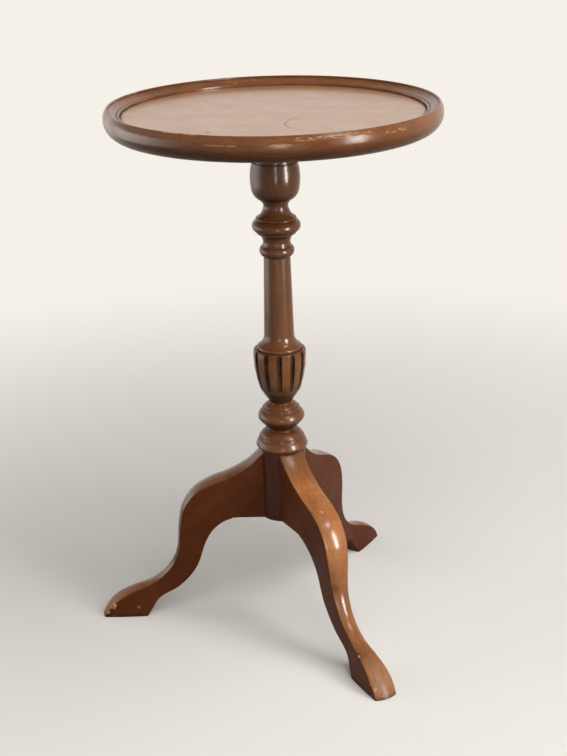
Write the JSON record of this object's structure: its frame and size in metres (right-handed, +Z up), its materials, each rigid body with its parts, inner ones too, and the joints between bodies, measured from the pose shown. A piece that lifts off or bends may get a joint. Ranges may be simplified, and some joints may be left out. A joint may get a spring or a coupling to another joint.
{
  "type": "wine table",
  "caption": "Small round pedestal table: a dished top with a moulded rim on a turned pillar with a fluted vase and splayed cabriole legs, for a drink, a plate or a lamp.",
  "frame": {"origin": "point on the floor under the pillar's axis", "axes": "+Z up along the pillar; the left leg points along -X, and the front and rear legs stand towards +X"},
  "size_m": [0.3867, 0.379, 0.5892],
  "materials": {
    "field_wood": "satin lacquer over brown stained mahogany, straight grain",
    "rim_wood": "satin lacquer over brown stained mahogany, worn pale along the crest",
    "pillar_wood": "satin lacquer over brown stained mahogany, darker in the quirks and flutes",
    "leg_wood": "satin lacquer over brown stained mahogany, scuffed at the feet",
    "strap_iron": "dark bare iron, matt",
    "screw_steel": "dulled steel"
  },
  "bodies": {
    "root": {"top_field": "field_wood", "top_rim": "rim_wood", "pillar_block": "pillar_wood", "tenon_wedge": "pillar_wood", "pillar_shaft": "pillar_wood", "pillar_base": "pillar_wood", "leg_left": "leg_wood", "leg_front": "leg_wood", "leg_rear": "leg_wood", "leg_strap": "strap_iron", "block_screws": "screw_steel", "strap_drum_screws": "screw_steel", "strap_leg_screws": "screw_steel"}
  },
  "joints": []
}
